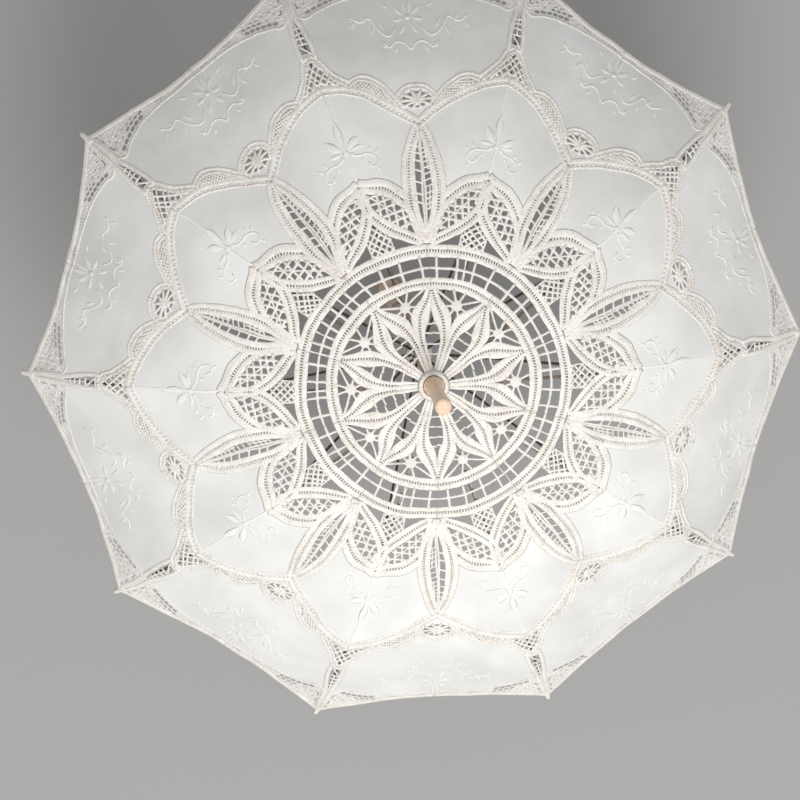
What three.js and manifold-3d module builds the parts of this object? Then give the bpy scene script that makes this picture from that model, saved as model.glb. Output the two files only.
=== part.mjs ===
import * as THREE from 'three';
import { mergeVertices } from 'three/addons/utils/BufferGeometryUtils.js';
import Module from 'manifold-3d';

// Lace parasol, standing open on the flat end of its handle. Millimetres, +Z along the shaft,
// origin at the centre of the handle's flat end. Rib 1 points along +X.

const wasm = await Module();
wasm.setup();

// ---- driving dimensions ----
const RIBS = 10;
const SECTOR = (2 * Math.PI) / RIBS;
const HALF = SECTOR / 2;
const ROUND = 40;

// canopy: the rib line falls by RISE from the crown to TIP_R, slowly at first and steeply at the rim
const TIP_R = 410;
const RISE = 194;
const PROFILE_POWER = 2.6;
const RIM_R = 402;
const RIM_DIP = 13;
const CLOTH_IN_R = 8;
const CLOTH_GAP = 0.8;
const CLOTH_THICK = 0.9;
const SEAM_GAP = 0.2;
const CLOTH_ROWS = 15;
const CLOTH_COLUMNS = 6;

// ribs and crown
const CROWN_Z = 664;
const PIVOT_R = 10;
const RIB_W = 2.4;
const RIB_H = 3;
const RIB_END_R = 401.5;
const RIB_STATIONS = 18;
const EYE_R = 1.8;
const WIRE_R = 0.6;
const WIRE_HOLE_R = 0.95;
const SLOT_W = 3;
const SLOT_FLOOR_R = 7.9;
const FLANGE_R = 13.4;

// stretchers and runner
const JOINT_AT_R = 190;
const JOINT_DROP = 1.2;
const STRETCHER_L = 230;
const LUG_R = 2.6;
const CHEEK_R = 2.2;
const PIN_R = 0.8;
const PIN_HOLE_R = 1.1;
const CHEEK_IN = 1.55;
const CHEEK_OUT = 2.35;
const RUNNER_L = 50;
const FLANGE_HALF = 4;

// shaft, handle and ferrule
const SHAFT_R = 6;
const FIT = 0.15;
const HANDLE_L = 182;
const SOCKET_DEPTH = 30.5;
const FERRULE_L = 102;
const FERRULE_SOCKET = 22;

// sprung catches in the shaft
const CATCH_W = 1.4;
const CATCH_SLOT_W = 2;
const CATCH_NOSE_R = 9;
const TOP_CATCH_L = 46;
const LOW_CATCH_L = 30;
const CLOSING_TURN = THREE.MathUtils.degToRad(62);

// ---- rib line ----
function ribPoint(r, offset) {
  const share = r / TIP_R;
  const z = CROWN_Z - RISE * share ** PROFILE_POWER;
  const slope = (-RISE * PROFILE_POWER * share ** (PROFILE_POWER - 1)) / TIP_R;
  const norm = Math.hypot(1, slope);
  return [r - (slope / norm) * offset, z + offset / norm];
}

// joint between rib and stretcher, and the runner's height when open and when closed
const [JOINT_R, JOINT_Z] = ribPoint(JOINT_AT_R, -JOINT_DROP);
const RUNNER_Z = JOINT_Z - Math.sqrt(STRETCHER_L ** 2 - (JOINT_R - PIVOT_R) ** 2);
const ARM = Math.hypot(JOINT_R - PIVOT_R, CROWN_Z - JOINT_Z);
const ARM_ANGLE = Math.atan2(CROWN_Z - JOINT_Z, JOINT_R - PIVOT_R) + CLOSING_TURN;
const CLOSED_Z =
  CROWN_Z - ARM * Math.sin(ARM_ANGLE) - Math.sqrt(STRETCHER_L ** 2 - (ARM * Math.cos(ARM_ANGLE)) ** 2);

// ---- materials ----
function material(color, roughness, metalness) {
  return new THREE.MeshStandardMaterial({ color, roughness, metalness });
}
const wood = () => material(0xe9c9a6, 0.5, 0);
const cloth = () => material(0xeeeae4, 0.9, 0);
const steel = () => material(0x8b8178, 0.4, 0.9);
const nickel = () => material(0xc4c2bc, 0.3, 1);
const nub = () => material(0xefe4d2, 0.5, 0);

// ---- solids ----
function toSolid(geometry) {
  const bare = geometry.index ? geometry.toNonIndexed() : geometry.clone();
  bare.deleteAttribute('normal');
  bare.deleteAttribute('uv');
  const merged = mergeVertices(bare, 1e-4);
  return new wasm.Manifold(
    new wasm.Mesh({
      numProp: 3,
      vertProperties: Float32Array.from(merged.attributes.position.array),
      triVerts: Uint32Array.from(merged.index.array),
    }),
  );
}

function toGeometry(solid) {
  const mesh = solid.getMesh();
  const geometry = new THREE.BufferGeometry();
  geometry.setAttribute('position', new THREE.BufferAttribute(Float32Array.from(mesh.vertProperties), 3));
  geometry.setIndex(Array.from(mesh.triVerts));
  geometry.computeVertexNormals();
  return geometry;
}

// a box given by its centre and full sizes, turned to an azimuth
function boxSolid(center, size, azimuth) {
  const geometry = new THREE.BoxGeometry(...size);
  geometry.translate(...center);
  geometry.rotateZ(azimuth);
  return toSolid(geometry);
}

// a disc whose axis is tangential, at a point of the radial plane
function discSolid(r, z, radius, halfWidth) {
  const geometry = new THREE.CylinderGeometry(radius, radius, 2 * halfWidth, 12);
  geometry.translate(r, 0, z);
  return toSolid(geometry);
}

// an outline in the radial plane, extruded tangentially from y0 to y1
function plateSolid(outline, y0, y1) {
  const shape = new THREE.Shape(outline.map(([r, z]) => new THREE.Vector2(r, z)));
  const geometry = new THREE.ExtrudeGeometry(shape, { depth: y1 - y0, bevelEnabled: false });
  geometry.rotateX(Math.PI / 2);
  geometry.translate(0, y1, 0);
  return toSolid(geometry);
}

// a closed ring or solid turned round the shaft's axis
function turned(profile) {
  const geometry = new THREE.LatheGeometry(
    profile.map(([r, z]) => new THREE.Vector2(r, z)),
    ROUND,
  );
  geometry.rotateX(Math.PI / 2);
  return geometry;
}

const group = new THREE.Group();

function add(name, geometry, finish) {
  const mesh = new THREE.Mesh(geometry, finish());
  mesh.name = name;
  group.add(mesh);
}

function addAround(name, geometry, finish) {
  for (let k = 0; k < RIBS; k += 1) {
    const copy = geometry.clone();
    copy.rotateZ(k * SECTOR);
    add(`${name}_${String(k + 1).padStart(2, '0')}`, copy, finish);
  }
}

// ---- sub-parts ----
function ribGeometry() {
  const upper = [];
  const lower = [];
  for (let i = 0; i <= RIB_STATIONS; i += 1) {
    const r = PIVOT_R + ((RIB_END_R - PIVOT_R) * i) / RIB_STATIONS;
    upper.push(ribPoint(r, RIB_H / 2));
    lower.unshift(ribPoint(r, -RIB_H / 2));
  }
  const bar = plateSolid([...lower, ...upper], -RIB_W / 2, RIB_W / 2);
  const eye = discSolid(PIVOT_R, CROWN_Z, EYE_R, RIB_W / 2);
  const lug = discSolid(JOINT_R, JOINT_Z, LUG_R, RIB_W / 2);
  const wireHole = discSolid(PIVOT_R, CROWN_Z, WIRE_HOLE_R, RIB_W);
  const pinHole = discSolid(JOINT_R, JOINT_Z, PIN_HOLE_R, RIB_W);
  return toGeometry(bar.add(eye).add(lug).subtract(wireHole).subtract(pinHole));
}

function stretcherGeometry() {
  const eye = discSolid(STRETCHER_L, 0, EYE_R, 1.1);
  const rod = boxSolid([(14 + STRETCHER_L) / 2, 0, 0], [STRETCHER_L - 14, 2.2, 2.4], 0);
  let solid = rod.add(eye).add(boxSolid([12.5, 0, 0], [7, 2 * CHEEK_OUT, 2.6], 0));
  for (const side of [-1, 1]) {
    const middle = (side * (CHEEK_IN + CHEEK_OUT)) / 2;
    const thick = CHEEK_OUT - CHEEK_IN;
    const round = new THREE.CylinderGeometry(CHEEK_R, CHEEK_R, thick, 12);
    round.translate(0, middle, 0);
    solid = solid.add(toSolid(round)).add(boxSolid([5.5, middle, 0], [11, thick, 2.6], 0));
  }
  const geometry = toGeometry(solid.subtract(discSolid(0, 0, PIN_HOLE_R, 4)));
  const fall = Math.atan2(JOINT_Z - RUNNER_Z, JOINT_R - PIVOT_R);
  geometry.rotateY(Math.PI - fall);
  geometry.translate(JOINT_R, 0, JOINT_Z);
  return geometry;
}

function pinGeometry() {
  const profile = [[0, -3.4], [1.7, -3.4], [1.7, -2.7], [PIN_R, -2.7], [PIN_R, 2.7], [1.7, 2.7], [1.7, 3.4], [0, 3.4]];
  const geometry = new THREE.LatheGeometry(profile.map(([r, z]) => new THREE.Vector2(r, z)), 8);
  geometry.translate(JOINT_R, 0, JOINT_Z);
  return geometry;
}

// ball-ended nub in line with the end of the rib
function tipGeometry() {
  const profile = [[0, 0.3], [1.8, 0.3], [1.9, 1.2], [1.7, 3.2], [2.5, 4.4], [2.8, 6], [2.5, 7.6], [1.4, 8.6], [0, 8.8]];
  const geometry = new THREE.LatheGeometry(profile.map(([r, z]) => new THREE.Vector2(r, z)), 10);
  const [r0, z0] = ribPoint(RIB_END_R - 1, 0);
  const [r1, z1] = ribPoint(RIB_END_R, 0);
  geometry.rotateZ(Math.atan2(z1 - z0, r1 - r0) - Math.PI / 2);
  geometry.rotateX(Math.PI / 2);
  geometry.translate(r1, 0, z1);
  return geometry;
}

// kite of cloth centred on one rib; between ribs it runs straight across, as stretched cloth does
function goreGeometry() {
  const positions = [];
  const index = [];
  const columns = CLOTH_COLUMNS + 1;
  for (const offset of [RIB_H / 2 + CLOTH_GAP, RIB_H / 2 + CLOTH_GAP + CLOTH_THICK]) {
    for (let i = 0; i <= CLOTH_ROWS; i += 1) {
      for (let j = 0; j < columns; j += 1) {
        const across = (2 * j) / CLOTH_COLUMNS - 1;
        const dip = RIM_DIP * (1 - (1 - Math.abs(across)) ** 2);
        const s = CLOTH_IN_R + ((RIM_R - dip - CLOTH_IN_R) * i) / CLOTH_ROWS;
        const [r, z] = ribPoint(s, offset);
        const turn = across * (HALF - SEAM_GAP / (r * Math.cos(HALF)));
        const rho = (r * Math.cos(HALF)) / Math.cos(HALF - Math.abs(turn));
        positions.push(rho * Math.cos(turn), rho * Math.sin(turn), z);
      }
    }
  }
  const layer = (CLOTH_ROWS + 1) * columns;
  const quad = (a, b, c, d) => index.push(a, b, c, a, c, d);
  const at = (i, j, top) => top * layer + i * columns + j;
  for (let i = 0; i < CLOTH_ROWS; i += 1) {
    for (let j = 0; j < CLOTH_COLUMNS; j += 1) {
      quad(at(i, j, 1), at(i + 1, j, 1), at(i + 1, j + 1, 1), at(i, j + 1, 1));
      quad(at(i, j, 0), at(i, j + 1, 0), at(i + 1, j + 1, 0), at(i + 1, j, 0));
    }
    quad(at(i, 0, 0), at(i + 1, 0, 0), at(i + 1, 0, 1), at(i, 0, 1));
    quad(at(i, CLOTH_COLUMNS, 1), at(i + 1, CLOTH_COLUMNS, 1), at(i + 1, CLOTH_COLUMNS, 0), at(i, CLOTH_COLUMNS, 0));
  }
  for (let j = 0; j < CLOTH_COLUMNS; j += 1) {
    quad(at(0, j, 1), at(0, j + 1, 1), at(0, j + 1, 0), at(0, j, 0));
    quad(at(CLOTH_ROWS, j, 0), at(CLOTH_ROWS, j + 1, 0), at(CLOTH_ROWS, j + 1, 1), at(CLOTH_ROWS, j, 1));
  }
  const geometry = new THREE.BufferGeometry();
  geometry.setAttribute('position', new THREE.Float32BufferAttribute(positions, 3));
  geometry.setIndex(index);
  geometry.computeVertexNormals();
  return geometry;
}

// one radial slot for every rib, through the flange at a height
function cutSlots(solid, z, halfHeight) {
  let cut = solid;
  for (let k = 0; k < RIBS; k += 1) {
    cut = cut.subtract(boxSolid([SLOT_FLOOR_R + 6, 0, z], [12, SLOT_W, 2 * halfHeight + 4], k * SECTOR));
  }
  return cut;
}

function crownGeometry() {
  const inner = SHAFT_R + FIT;
  const low = CROWN_Z - 4.5;
  const high = CROWN_Z + 1.55;
  const ring = toSolid(turned([[inner, low], [FLANGE_R, low], [FLANGE_R, high], [inner, high], [inner, low]]));
  const channel = new THREE.TorusGeometry(PIVOT_R, WIRE_HOLE_R, 8, 40);
  channel.translate(0, 0, CROWN_Z);
  return toGeometry(cutSlots(ring, CROWN_Z, 5).subtract(toSolid(channel)));
}

function crownWireGeometry() {
  const geometry = new THREE.TorusGeometry(PIVOT_R, WIRE_R, 6, 40);
  geometry.translate(0, 0, CROWN_Z);
  return geometry;
}

function runnerGeometry() {
  const inner = SHAFT_R + FIT;
  const z = RUNNER_Z;
  const profile = [
    [inner, z - RUNNER_L],
    [9, z - RUNNER_L],
    [9, z - RUNNER_L + 3],
    [7.7, z - RUNNER_L + 4],
    [7.7, z - FLANGE_HALF],
    [FLANGE_R, z - FLANGE_HALF],
    [FLANGE_R, z + FLANGE_HALF],
    [inner, z + FLANGE_HALF],
    [inner, z - RUNNER_L],
  ];
  const slotted = cutSlots(toSolid(turned(profile)), z, FLANGE_HALF);
  return toGeometry(slotted.subtract(boxSolid([7.5, 0, z - 36.2], [5, 3.2, 15.6], HALF)));
}

// leaf outline: pivots at its foot, its nose stands out of the shaft at the top
function catchOutline(top, length) {
  const foot = top - length;
  return [[1.2, foot - 1.5], [4.6, foot - 1.5], [4.9, top - 18], [CATCH_NOSE_R, top - 3], [CATCH_NOSE_R, top], [1.4, top]];
}

function catchGeometry(top, length) {
  const geometry = toGeometry(plateSolid(catchOutline(top, length), -CATCH_W / 2, CATCH_W / 2));
  geometry.rotateZ(HALF);
  return geometry;
}

const TOP_CATCH_Z = RUNNER_Z - RUNNER_L - 1;
const LOW_CATCH_Z = CLOSED_Z - 29;
const STOP_Z = RUNNER_Z + FLANGE_HALF + 2;

function shaftGeometry() {
  const low = HANDLE_L - SOCKET_DEPTH + 0.5;
  const high = CROWN_Z + FERRULE_SOCKET;
  let solid = toSolid(turned([[0, low], [SHAFT_R, low], [SHAFT_R, high], [0, high]]));
  for (const [top, length] of [[TOP_CATCH_Z, TOP_CATCH_L], [LOW_CATCH_Z, LOW_CATCH_L]]) {
    solid = solid.subtract(boxSolid([2.9, 0, top - length / 2], [10.2, CATCH_SLOT_W, length + 5], HALF));
  }
  const hole = new THREE.CylinderGeometry(1.2, 1.2, 20, 20);
  hole.rotateZ(Math.PI / 2);
  hole.translate(0, 0, STOP_Z);
  hole.rotateZ(HALF);
  return toGeometry(solid.subtract(toSolid(hole)));
}

function stopPinGeometry() {
  const geometry = new THREE.CylinderGeometry(1, 1, 15.6, 16);
  geometry.rotateZ(Math.PI / 2);
  geometry.translate(0, 0, STOP_Z);
  geometry.rotateZ(HALF);
  return geometry;
}

// turned handle with a socket for the shaft
function handleGeometry() {
  const bore = SHAFT_R + FIT;
  const floor = HANDLE_L - SOCKET_DEPTH;
  return turned([
    [0, 0],
    [11, 0],
    [12.6, 1.6],
    [14, 8],
    [13.4, 15],
    [10.6, 20],
    [9, 24],
    [10.4, 26],
    [10.4, 29],
    [9, 31],
    [9.6, 44],
    [10.8, 70],
    [11.2, 96],
    [10.6, 122],
    [9.4, 146],
    [8.6, 164],
    [9.6, 170],
    [9.6, 175],
    [8.6, 178],
    [8.4, HANDLE_L],
    [bore, HANDLE_L],
    [bore, floor],
    [0, floor],
  ]);
}

function collarGeometry() {
  const bore = SHAFT_R + FIT;
  const low = HANDLE_L + 0.4;
  return turned([[bore, low], [8.4, low], [8.8, low + 2], [8.8, low + 4], [7.6, low + 6], [7.6, low + 12], [bore, low + 13], [bore, low]]);
}

function ferruleGeometry() {
  const bore = SHAFT_R + FIT;
  const low = CROWN_Z + RIB_H / 2 + CLOTH_GAP + CLOTH_THICK + 0.35;
  const roof = CROWN_Z + FERRULE_SOCKET + 0.5;
  const high = CROWN_Z + 2 + FERRULE_L;
  return turned([
    [bore, low],
    [9.4, low],
    [9.6, low + 2],
    [8.4, low + 4],
    [7.1, low + 8],
    [6.8, low + 30],
    [7, low + 60],
    [7.5, high - 22],
    [8, high - 12],
    [8, high - 3],
    [7, high - 0.8],
    [5, high],
    [0, high],
    [0, roof],
    [bore, roof],
    [bore, low],
  ]);
}

add('shaft', shaftGeometry(), wood);
add('handle', handleGeometry(), wood);
add('handle_collar', collarGeometry(), nickel);
add('ferrule', ferruleGeometry(), wood);
add('crown', crownGeometry(), nickel);
add('crown_wire', crownWireGeometry(), steel);
add('runner', runnerGeometry(), nickel);
add('top_catch', catchGeometry(TOP_CATCH_Z, TOP_CATCH_L), steel);
add('bottom_catch', catchGeometry(LOW_CATCH_Z, LOW_CATCH_L), steel);
add('stop_pin', stopPinGeometry(), steel);
addAround('rib', ribGeometry(), steel);
addAround('stretcher', stretcherGeometry(), steel);
addAround('joint_pin', pinGeometry(), nickel);
addAround('rib_tip', tipGeometry(), nub);
addAround('canopy_gore', goreGeometry(), cloth);

export default group;
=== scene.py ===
import math
import random

import bmesh
import bpy
from mathutils import Matrix, Vector, noise
from mathutils.geometry import delaunay_2d_cdt, intersect_line_line_2d


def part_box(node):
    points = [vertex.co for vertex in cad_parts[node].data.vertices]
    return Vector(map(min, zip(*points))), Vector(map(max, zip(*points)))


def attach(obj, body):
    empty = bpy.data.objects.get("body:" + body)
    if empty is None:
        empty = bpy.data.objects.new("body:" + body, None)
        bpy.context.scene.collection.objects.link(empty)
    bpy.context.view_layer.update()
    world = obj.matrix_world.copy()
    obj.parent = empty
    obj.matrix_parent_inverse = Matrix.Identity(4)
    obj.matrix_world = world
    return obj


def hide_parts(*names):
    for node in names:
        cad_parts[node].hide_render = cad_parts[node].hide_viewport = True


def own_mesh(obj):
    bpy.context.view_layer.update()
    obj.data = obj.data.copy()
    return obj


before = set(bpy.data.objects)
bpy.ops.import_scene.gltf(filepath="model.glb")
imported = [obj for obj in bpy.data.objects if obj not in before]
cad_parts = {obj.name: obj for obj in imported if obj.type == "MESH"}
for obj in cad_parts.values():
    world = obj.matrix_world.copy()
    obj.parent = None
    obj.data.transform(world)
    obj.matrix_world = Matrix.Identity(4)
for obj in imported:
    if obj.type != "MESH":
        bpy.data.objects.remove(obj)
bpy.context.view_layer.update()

# vector noise starts from the clock unless it is given a seed
noise.seed_set(5)

# ---------------------------------------------------------------- the parasol's own sizes, in metres
MM = 0.001
RIBS = 10
SPREAD = 360 / RIBS
HALF = math.radians(SPREAD / 2)
# along the middle of the gap between two ribs, and from there towards the rib
GAP = Vector((math.cos(HALF), math.sin(HALF)))
TO_RIB = Vector((math.sin(HALF), -math.cos(HALF)))
CROWN_Z = 0.664
TIP_R = 0.410
RISE = 0.194
POWER = 2.6
RIM_R = 0.402
RIM_DIP = 0.0125
# the cloth clears the ribs by this much, and lace and thread lie a little higher
CLOTH_LIFT = 0.0026
TAPE_LIFT = CLOTH_LIFT + 0.0002
CLOTH_THICK = 0.00025

# hand work wanders and quivers sideways, slack cloth sags, billows and ruffles: how far in metres,
# or as a share of the billow, and in how many waves a metre
WANDER, WANDER_WAVES = 0.0026, 22
QUIVER, QUIVER_WAVES = 0.0006, 70
SAG = 0.0022
BILLOW, BILLOW_WAVES = 0.0020, 24
RUFFLE, RUFFLE_WAVES = 0.25, 75
# the wander dies out towards the stick and towards the rim
CALM_R = 0.05
CALM_RIM_R = 0.40
CALM_RIM = 0.03

# drawn lines have a point at every STEP, straight stitches at every STITCH_STEP
STEP = 2.6 * MM
STITCH_STEP = 3.2 * MM
THREAD_SIDES = 5

# how far out each lace feature lies: drawing radius against radius on the cover, in millimetres
DRAWN = (0, 121, 197, 245, 293.5, 380)
LAID = (0, 117.7, 193, 237, 291, 408)


def laid(r):
    """A drawing radius as a radius on the cover, in metres."""
    for i in range(len(DRAWN) - 1):
        if r <= DRAWN[i + 1] or i == len(DRAWN) - 2:
            share = (r - DRAWN[i]) / (DRAWN[i + 1] - DRAWN[i])
            return (LAID[i] + share * (LAID[i + 1] - LAID[i])) * MM


def at(r, degrees):
    """A point of one sector's plan, from a drawing radius and an angle off the rib."""
    a = math.radians(degrees)
    return Vector((laid(r) * math.cos(a), laid(r) * math.sin(a)))


def beside_leaf(along, off):
    """A point measured along the gap's middle line, and off it towards the rib in millimetres."""
    return GAP * laid(along) + TO_RIB * off * MM


def flipped(points):
    """The same points on the other side of the rib."""
    return [Vector((p.x, -p.y)) for p in points]


# ---------------------------------------------------------------- from the flat plan to the dome
def rib_line(s, lift):
    """Radius and height of a point that stands off the bowed rib line, which starts at radius s."""
    share = s / TIP_R
    z = CROWN_Z - RISE * share ** POWER
    slope = -RISE * POWER / TIP_R * share ** (POWER - 1)
    norm = math.hypot(1, slope)
    return s - slope / norm * lift, z + lift / norm


def on_cover(p, lift, k):
    """A plan point of sector k on the dome, where the cloth runs straight across from rib to rib."""
    rho = max(p.length, 1e-5)
    psi = math.atan2(p.y, p.x)
    psi = max(-HALF, min(HALF, psi))
    turn = psi + k * 2 * HALF
    x, y = rho * math.cos(turn), rho * math.sin(turn)
    wander = noise.noise_vector(Vector((x * WANDER_WAVES, y * WANDER_WAVES, 3.1)))
    quiver = noise.noise_vector(Vector((x * QUIVER_WAVES, y * QUIVER_WAVES, 8.4)))
    ease = min(1, rho / CALM_R) * min(1, max(0, (CALM_RIM_R - rho) / CALM_RIM))
    x += (wander.x * WANDER + quiver.x * QUIVER) * ease
    y += (wander.y * WANDER + quiver.y * QUIVER) * ease
    rho = math.hypot(x, y)
    local = math.atan2(y, x) - k * 2 * HALF
    local = (local + math.pi) % (2 * math.pi) - math.pi
    across = min(1, abs(local) / HALF)
    chord = rho * math.cos(HALF - min(HALF, abs(local))) / math.cos(HALF)
    s = chord
    for _ in range(3):
        s = max(0, chord - (rib_line(s, lift)[0] - s))
    z = rib_line(s, lift)[1]
    slack = math.sin(across * math.pi / 2) ** 2
    z -= SAG * slack * (rho / TIP_R) ** 2
    billow = noise.noise(Vector((x * BILLOW_WAVES, y * BILLOW_WAVES, 1.7)))
    ruffle = noise.noise(Vector((x * RUFFLE_WAVES, y * RUFFLE_WAVES, 4.2)))
    z += BILLOW * (billow + RUFFLE * ruffle) * slack * (rho / TIP_R) ** 2
    return Vector((rho * math.cos(local + k * 2 * HALF), rho * math.sin(local + k * 2 * HALF), z))


# ---------------------------------------------------------------- curves on the plan
def smooth(points):
    """A Catmull-Rom curve through the points, walked at even steps."""
    pts = [points[0] * 2 - points[1]] + list(points) + [points[-1] * 2 - points[-2]]
    parts = 14
    fine = []
    for i in range(1, len(pts) - 2):
        a, b, c, d = pts[i - 1 : i + 3]
        for j in range(parts):
            t = j / parts
            bow = (2 * a - 5 * b + 4 * c - d) * t * t
            sway = (3 * b - a - 3 * c + d) * t ** 3
            fine.append(0.5 * (2 * b + (c - a) * t + bow + sway))
    fine.append(points[-1].copy())
    return even(fine, STEP)


def even(points, step):
    """The same line with its points the same distance apart, about step."""
    lengths = [0.0]
    for a, b in zip(points, points[1:]):
        lengths.append(lengths[-1] + (b - a).length)
    count = max(2, round(lengths[-1] / step))
    out = []
    i = 0
    for n in range(count + 1):
        want = lengths[-1] * n / count
        while i < len(points) - 2 and lengths[i + 1] < want:
            i += 1
        span = max(lengths[i + 1] - lengths[i], 1e-9)
        out.append(points[i].lerp(points[i + 1], (want - lengths[i]) / span))
    return out


def arc(r):
    """A ring's arc across the sector."""
    parts = 24
    return even([at(r, -SPREAD / 2 + SPREAD * i / parts) for i in range(parts + 1)], STEP)


def side(points, i):
    """The direction across a line at its point i, to the left of its run."""
    a = points[max(0, i - 1)]
    b = points[min(len(points) - 1, i + 1)]
    d = (b - a).normalized()
    return Vector((-d.y, d.x))


def inside(p, loop):
    """Whether a point lies in a closed outline: a ray from it crosses the outline an odd number of times."""
    hit = False
    for a, b in zip(loop, loop[1:] + loop[:1]):
        if (a.y > p.y) != (b.y > p.y) and p.x < (b.x - a.x) * (p.y - a.y) / (b.y - a.y) + a.x:
            hit = not hit
    return hit


# ---------------------------------------------------------------- thread, tape, cloth and stitch
def skin(bm, rings):
    """Wraps a grid round rings of points. piece_from welds its seam and caps its two ends."""
    around = len(rings[0])
    grid = bmesh.ops.create_grid(bm, x_segments=around, y_segments=len(rings) - 1, size=1)
    for i, vert in enumerate(grid["verts"]):
        row, column = divmod(i, around + 1)
        vert.co = rings[row][column % around]


def thread(bm, points, radius, k, rng, lift=CLOTH_LIFT):
    """One twisted cotton thread laid over the plan points, its thickness a little uneven."""
    rings = []
    for i, p in enumerate(points):
        n = side(points, i)
        r = radius * MM * (1 + rng.uniform(-0.14, 0.14))
        ring = []
        for j in range(THREAD_SIDES):
            a = 2 * math.pi * j / THREAD_SIDES
            ring.append(on_cover(p + n * r * math.cos(a), lift + r * math.sin(a), k))
        rings.append(ring)
    skin(bm, rings)


def stitch(bm, a, b, radius, k, rng):
    thread(bm, even([a, b], STITCH_STEP), radius, k, rng)


def band(bm, points, low, high, k, lift=TAPE_LIFT, rise=1.0):
    """One flat woven edge with a rounded top. low and high are its two sides at each point of the path."""
    rings = []
    rng = random.Random(len(points) * 31 + k)
    # each edge strays by up to this much
    stray = 0.22
    shoulder, top = 0.00045, 0.00062
    for i, p in enumerate(points):
        n = side(points, i)
        start = low[i] + rng.uniform(-stray, stray) * MM
        width = high[i] - start + rng.uniform(-stray, stray) * MM
        swell = rise * rng.uniform(0.75, 1.25)
        section = ((0, 0), (0.14, shoulder * swell), (0.5, top * swell), (0.86, shoulder * swell), (1, 0))
        rings.append([on_cover(p + n * (start + width * s), lift + h, k) for s, h in section])
    skin(bm, rings)


def bars(bm, points, reach, k, pitch, wide, off=0.0):
    """Short flat bars across a gap of the given half width, evenly along the path."""
    marks = even(points, pitch * MM)
    for i in range(len(marks) - 1):
        n = side(marks, i)
        p = marks[i].lerp(marks[i + 1], 0.5) + n * off * MM
        along = Vector((n.y, -n.x)) * wide / 2 * MM
        out = n * reach * MM
        corners = [p - out - along, p + out - along, p + out + along, p - out + along]
        skin(bm, [[on_cover(c, CLOTH_LIFT + h, k) for c in corners] for h in (0.0001, 0.0004)])


def tape(bm, points, width, k, slit, pitch=2.7, off=0.0):
    """Braided lace tape: two solid edges and short bars between them, off to one side if need be."""
    widths = width if isinstance(width, list) else [width] * len(points)
    half = [max(w, slit + 1.2) / 2 * MM for w in widths]
    low = (off - slit / 2) * MM
    high = (off + slit / 2) * MM
    band(bm, points, [-h for h in half], [low] * len(points), k)
    band(bm, points, [high] * len(points), half, k)
    bars(bm, points, slit / 2 + 0.5, k, pitch, pitch * 0.52, off)


def plain(bm, points, width, k, lift=TAPE_LIFT, rise=1.0):
    """A solid tape without openings."""
    half = width / 2 * MM
    band(bm, points, [-half] * len(points), [half] * len(points), k, lift, rise)


def wheel(bm, middle, radius, k, legs):
    """The darned button at the middle of a spider web."""
    rings = []
    for share, h in ((1.0, 0.0), (0.8, 0.0009), (0.35, 0.0013)):
        ring = []
        for j in range(2 * legs):
            a = math.pi * j / legs
            r = radius * MM * share * (1.07 if j % 2 else 0.93)
            ring.append(on_cover(middle + Vector((math.cos(a), math.sin(a))) * r, CLOTH_LIFT + h, k))
        rings.append(ring)
    skin(bm, rings)


def satin(bm, base, tip, width, k, height=0.7, steps=10, bend=0.0):
    """A satin-stitched leaf: a padded lens, parted down its middle, a little proud of the cloth."""
    along = tip - base
    across = Vector((-along.y, along.x)).normalized()
    rings = []
    for i in range(steps + 1):
        t = i / steps
        swell = max(0.06, math.sin(math.pi * t ** 1.25))
        mid = base + along * t + across * bend * MM * math.sin(math.pi * t)
        section = ((-1, 0), (-0.6, 0.85), (0, 0.6), (0.6, 0.85), (1, 0))
        spread = across * swell * width / 2 * MM
        lifts = [CLOTH_LIFT + (height * h * swell + 0.06) * MM for s, h in section]
        rings.append([on_cover(mid + spread * s, lift, k) for (s, h), lift in zip(section, lifts)])
    skin(bm, rings)


def pattern(outline, holes):
    """An even net of triangles over an outline on the plan, open at its holes, as points and faces."""
    step = 4.4 * MM
    # rows lie a little closer than the points along them, which makes the triangles even
    packed = 0.87
    points = []
    edges = []
    for loop in [outline] + holes:
        first = len(points)
        points += loop
        edges += [(first + i, first + (i + 1) % len(loop)) for i in range(len(loop))]
    drawn = list(points)
    low_x, high_x = min(p.x for p in outline), max(p.x for p in outline)
    low_y, high_y = min(p.y for p in outline), max(p.y for p in outline)
    row = math.ceil(low_y / (step * packed))
    while row * step * packed < high_y:
        y = row * step * packed
        x = low_x + (row % 2) * step / 2
        while x < high_x:
            p = Vector((x, y))
            if inside(p, outline) and not any(inside(p, h) for h in holes):
                if min((p - q).length_squared for q in drawn) > (step * 0.45) ** 2:
                    points.append(p)
            x += step
        row += 1
    found = delaunay_2d_cdt(points, edges, [], 0, 1e-7, False)
    net_points = [Vector(v) for v in found[0]]
    faces = []
    for face in found[2]:
        a, b, c = (net_points[i] for i in face)
        middle = (a + b + c) / 3
        # a face with no width can appear along a straight edge
        wide = abs((b - a).cross(c - a)) > (0.2 * MM) ** 2
        if wide and inside(middle, outline) and not any(inside(middle, h) for h in holes):
            faces.append(face)
    return net_points, faces


def cloth_from(bm, cut, k, slot=0):
    """Lays a cut pattern over sector k."""
    points, faces = cut
    used = sorted({i for face in faces for i in face})
    verts = {i: bm.verts.new(on_cover(points[i], CLOTH_LIFT, k)) for i in used}
    for face in faces:
        bm.faces.new([verts[i] for i in face]).material_index = slot


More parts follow.
